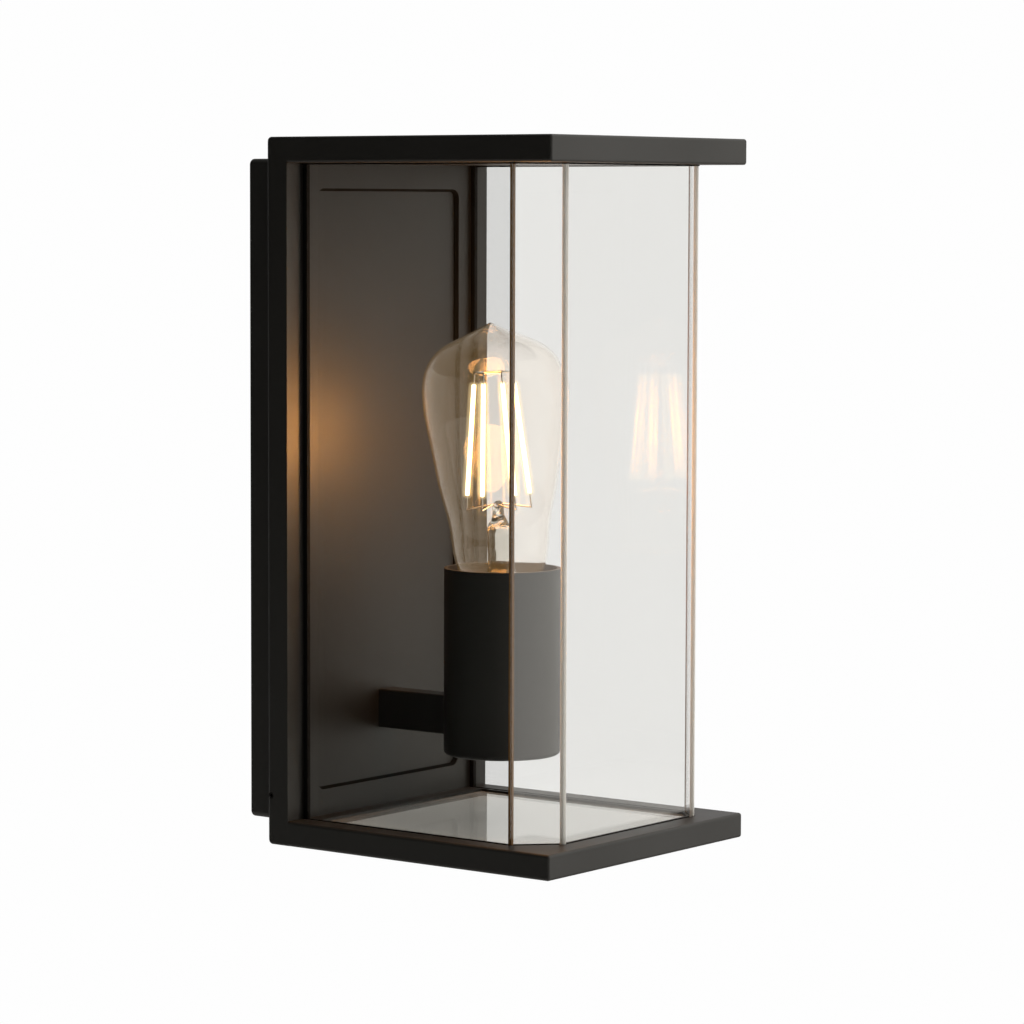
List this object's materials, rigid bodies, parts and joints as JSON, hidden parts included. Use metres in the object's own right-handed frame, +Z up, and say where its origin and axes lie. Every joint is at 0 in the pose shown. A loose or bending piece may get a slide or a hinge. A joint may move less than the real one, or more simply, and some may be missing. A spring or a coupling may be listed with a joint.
{
  "type": "outdoor wall lantern",
  "caption": "Boxy outdoor wall lantern: glazed cage with bevelled glass corners over a screw-in filament lamp in a round cup on an arm, in front of a rear wiring box.",
  "frame": {"origin": "middle of the rear face that meets the wall", "axes": "+Z up, +Y into the wall, so the lantern faces -Y, +X to the right seen from the front"},
  "size_m": [0.14, 0.167, 0.3],
  "materials": {
    "black_coat": "satin, fine powder coat",
    "clear_glass": "clear, polished",
    "lamp_glass": "clear, blown",
    "seal_rubber": "matte",
    "blackened_steel": "blackened",
    "zinc_steel": "zinc plated",
    "brass": "plain",
    "tinned_copper": "tinned",
    "holder_plastic": "moulded, matte",
    "nylon": "moulded",
    "brown_wire": "extruded",
    "blue_wire": "extruded",
    "green_wire": "extruded, yellow stripe",
    "nickel_cap": "nickel plated",
    "black_vitrite": "vitreous",
    "phosphor": "coated",
    "circuit_board": "laminate"
  },
  "bodies": {
    "wall_base": {"rear_box": "black_coat", "wall_gasket": "seal_rubber", "cable_grommet": "seal_rubber", "box_gasket": "seal_rubber", "carrier_plate": "black_coat", "carrier_screws": "blackened_steel", "terminal_block": "nylon", "terminal_clamps": "brass", "terminal_screws": "zinc_steel", "block_screws": "zinc_steel", "earth_screw": "zinc_steel", "earth_tag": "tinned_copper", "wire_live": "brown_wire", "wire_neutral": "blue_wire", "wire_earth": "green_wire", "lamp_arm": "black_coat", "arm_screws": "blackened_steel", "lamp_cup": "black_coat", "holder_pillars": "zinc_steel", "cup_screws": "blackened_steel", "holder_screws": "zinc_steel", "lampholder_body": "holder_plastic", "lampholder_shell": "brass", "centre_contact": "brass"},
    "cage": {"frame_plate": "black_coat", "frame_gasket": "seal_rubber", "frame_screws": "blackened_steel", "lid": "black_coat", "lid_liner": "black_coat", "liner_screws": "blackened_steel", "base_frame": "black_coat", "base_pane": "clear_glass", "pane_seal": "seal_rubber", "pane_left": "clear_glass", "pane_corner_left": "clear_glass", "pane_front": "clear_glass", "pane_corner_right": "clear_glass", "pane_right": "clear_glass", "glass_seal_bottom": "seal_rubber", "glass_seal_top": "seal_rubber", "side_seals": "seal_rubber"},
    "lamp_lift": {"cap_contact": "tinned_copper"},
    "lamp": {"bulb_glass": "lamp_glass", "bulb_stem": "lamp_glass", "bulb_filaments": "phosphor", "filament_wires": "tinned_copper", "bulb_cap": "nickel_cap", "cap_insulator": "black_vitrite", "driver_board": "circuit_board"},
    "left_tip": {"side_screw_tip_left": "nylon"},
    "left_screw": {"side_screw_left": "blackened_steel"},
    "right_tip": {"side_screw_tip_right": "nylon"},
    "right_screw": {"side_screw_right": "blackened_steel"}
  },
  "joints": [
    {"name": "cage_slide", "type": "slide", "parent": "wall_base", "child": "cage", "axis": [0, -1, 0], "range_m": [0, 0.12]},
    {"name": "lamp_rise", "type": "slide", "parent": "wall_base", "child": "lamp_lift", "axis": [0, 0, 1], "range_m": [0, 0.01819]},
    {"name": "lamp_turn", "type": "hinge", "parent": "lamp_lift", "child": "lamp", "pos_m": [0, -0.0903, -0.042], "axis": [0, 0, 1], "range_deg": [0, 1800]},
    {"name": "left_tip_travel", "type": "slide", "parent": "cage", "child": "left_tip", "axis": [-1, 0, 0], "range_m": [0, 0.0015]},
    {"name": "left_screw_turn", "type": "hinge", "parent": "left_tip", "child": "left_screw", "pos_m": [-0.066, -0.0198, -0.129], "axis": [-1, 0, 0], "range_deg": [0, 1083]},
    {"name": "right_tip_travel", "type": "slide", "parent": "cage", "child": "right_tip", "axis": [1, 0, 0], "range_m": [0, 0.0015]},
    {"name": "right_screw_turn", "type": "hinge", "parent": "right_tip", "child": "right_screw", "pos_m": [0.066, -0.0198, -0.129], "axis": [1, 0, 0], "range_deg": [0, 1083]}
  ],
  "couplings": [
    {"joint": "lamp_rise", "follows": "lamp_turn", "m_per_rad": 0.00057757},
    {"joint": "left_screw_turn", "follows": "left_tip_travel", "rad_per_m": 12566},
    {"joint": "right_screw_turn", "follows": "right_tip_travel", "rad_per_m": 12566}
  ]
}
